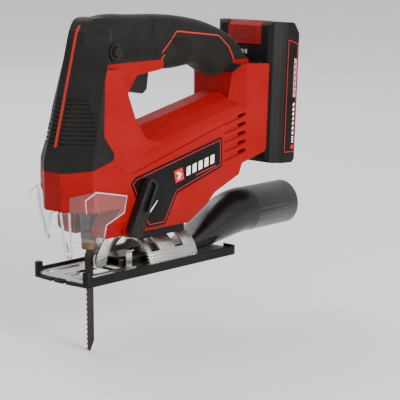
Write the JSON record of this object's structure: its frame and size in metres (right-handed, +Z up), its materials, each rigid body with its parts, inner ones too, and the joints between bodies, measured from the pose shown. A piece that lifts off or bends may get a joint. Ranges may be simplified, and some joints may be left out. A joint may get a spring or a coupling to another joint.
{
  "type": "cordless jigsaw",
  "caption": "Battery jigsaw with a closed D-handle, bevelling foot, dust tube, clear guard, orbit lever and a saw blade in a twist clamp.",
  "frame": {"origin": "where the blade's axis crosses the underside of the foot", "axes": "+X from the nose towards the battery, -Y the tool's left side, +Z up away from the workpiece"},
  "size_m": [0.2728, 0.0749, 0.2651],
  "materials": {
    "red_shell": "satin",
    "grip_rubber": "matt",
    "accent_red": "matt",
    "label_black": "satin",
    "zinc_steel": "satin",
    "bright_steel": "satin",
    "dark_steel": "black oxide",
    "blade_steel": "dark",
    "bronze": "satin",
    "cast_frame": "as cast",
    "magnet": "matt",
    "windings": "lacquered",
    "black_plastic": "satin",
    "gloss_black": "gloss",
    "clear_plastic": "clear",
    "board_green": "satin",
    "cell_wrap": "satin",
    "button_red": "satin",
    "button_black": "matt"
  },
  "bodies": {
    "housing": {"left_shell": "red_shell", "right_shell": "red_shell", "left_grip": "grip_rubber", "right_grip": "grip_rubber", "side_labels": "label_black", "accent_strips": "accent_red", "housing_screws": "dark_steel", "gearbox_frame": "cast_frame", "gear_pin": "bright_steel", "motor_can": "zinc_steel", "motor_magnets": "magnet", "motor_end_cap": "black_plastic", "motor_bearings": "bright_steel", "carbon_brushes": "magnet", "control_board": "board_green", "switch_module": "black_plastic", "terminal_block": "black_plastic", "trigger_pin": "bright_steel", "trigger_spring": "bright_steel", "fork_pivot": "bright_steel", "saddle_block": "black_plastic", "clamp_screw": "dark_steel", "clamp_nut": "zinc_steel", "clamp_plate": "zinc_steel", "wire_guard": "bright_steel"},
    "guide_swing": {"guide_carrier": "cast_frame", "guide_bushes": "bronze"},
    "plunger": {"plunger": "bright_steel", "blade_chuck": "dark_steel", "clamp_spring": "bright_steel"},
    "clamp_sleeve": {"clamp_sleeve": "bronze"},
    "saw_blade": {"saw_blade": "blade_steel"},
    "armature": {"armature": "windings", "motor_pinion": "bright_steel", "cooling_fan": "black_plastic"},
    "crank": {"crank_gear": "bright_steel", "crank_pin": "bright_steel", "crank_roller": "bright_steel"},
    "orbit_fork": {"roller_fork": "bright_steel", "roller_pin": "bright_steel"},
    "guide_roller": {"guide_roller": "bright_steel"},
    "orbit_lever": {"orbit_lever": "button_black", "lever_shaft": "bright_steel"},
    "trigger": {"trigger": "button_black"},
    "lock_button": {"lock_button": "button_black"},
    "foot": {"foot_shoe": "black_plastic", "foot_plate": "zinc_steel", "bevel_arch": "zinc_steel", "arch_rivets": "bright_steel", "duct_clips": "bright_steel"},
    "dust_tube": {"dust_tube": "gloss_black"},
    "clear_guard": {"clear_guard": "clear_plastic"},
    "battery": {"battery_front_case": "black_plastic", "battery_rear_case": "black_plastic", "battery_cells": "cell_wrap", "cell_straps": "bright_steel", "battery_board": "board_green", "battery_label": "label_black"},
    "release_button": {"release_button": "button_red"},
    "gauge_button": {"gauge_button": "button_black"}
  },
  "joints": [
    {"name": "armature_spin", "type": "hinge", "parent": "housing", "child": "armature", "pos_m": [0.07, 0, 0.084], "axis": [1, 0, 0], "continuous": true},
    {"name": "crank_spin", "type": "hinge", "parent": "housing", "child": "crank", "pos_m": [0.018, 0, 0.108], "axis": [1, 0, 0], "continuous": true},
    {"name": "guide_swing", "type": "hinge", "parent": "housing", "child": "guide_swing", "pos_m": [0, 0, 0.134], "axis": [0, 1, 0], "range_deg": [0, 1.2], "stiffness_Nm_per_rad": 4, "springref_deg": -1.15},
    {"name": "plunger_stroke", "type": "slide", "parent": "guide_swing", "child": "plunger", "axis": [0, 0, 1], "range_m": [0, 0.02]},
    {"name": "sleeve_twist", "type": "hinge", "parent": "plunger", "child": "clamp_sleeve", "pos_m": [0, 0, 0.026], "axis": [0, 0, 1], "range_deg": [0, 30], "stiffness_Nm_per_rad": 0.02, "springref_deg": -5.73},
    {"name": "blade_pull", "type": "slide", "parent": "plunger", "child": "saw_blade", "axis": [0, 0, -1], "range_m": [0, 0.05]},
    {"name": "fork_swing", "type": "hinge", "parent": "housing", "child": "orbit_fork", "pos_m": [0.016, 0, 0.05], "axis": [0, 1, 0], "range_deg": [0, 4]},
    {"name": "roller_spin", "type": "hinge", "parent": "orbit_fork", "child": "guide_roller", "pos_m": [0.0092, 0, 0.0115], "axis": [0, 1, 0], "continuous": true},
    {"name": "lever_turn", "type": "hinge", "parent": "housing", "child": "orbit_lever", "pos_m": [0.0175, -0.034, 0.0395], "axis": [0, 1, 0], "range_deg": [0, 45]},
    {"name": "trigger_pull", "type": "hinge", "parent": "housing", "child": "trigger", "pos_m": [0.026, 0, 0.161], "axis": [0, -1, 0], "range_deg": [0, 6], "stiffness_Nm_per_rad": 1, "springref_deg": -3.44, "deforming": ["trigger_spring"]},
    {"name": "lock_press", "type": "slide", "parent": "housing", "child": "lock_button", "axis": [0, 1, 0], "range_m": [0, 0.004], "stiffness_N_per_m": 300, "springref_m": -0.002},
    {"name": "foot_tilt", "type": "hinge", "parent": "housing", "child": "foot", "pos_m": [0.07, 0, 0.0023], "axis": [1, 0, 0], "range_deg": [-45, 45]},
    {"name": "tube_pull", "type": "slide", "parent": "foot", "child": "dust_tube", "axis": [1, 0, 0], "range_m": [0, 0.09]},
    {"name": "guard_pull", "type": "slide", "parent": "housing", "child": "clear_guard", "axis": [-1, 0, 0], "range_m": [0, 0.045]},
    {"name": "battery_slide", "type": "slide", "parent": "housing", "child": "battery", "axis": [0.0523, 0, 0.9986], "range_m": [0, 0.09]},
    {"name": "release_press", "type": "slide", "parent": "battery", "child": "release_button", "axis": [0.9986, 0, -0.0523], "range_m": [0, 0.003], "stiffness_N_per_m": 500, "springref_m": -0.002},
    {"name": "gauge_press", "type": "slide", "parent": "battery", "child": "gauge_button", "axis": [0.9986, 0, -0.0523], "range_m": [0, 0.0008], "stiffness_N_per_m": 500, "springref_m": -0.0005}
  ],
  "couplings": [
    {"joint": "crank_spin", "follows": "armature_spin", "ratio": -0.2},
    {"joint": "fork_swing", "follows": "guide_swing", "ratio": 3.18}
  ]
}
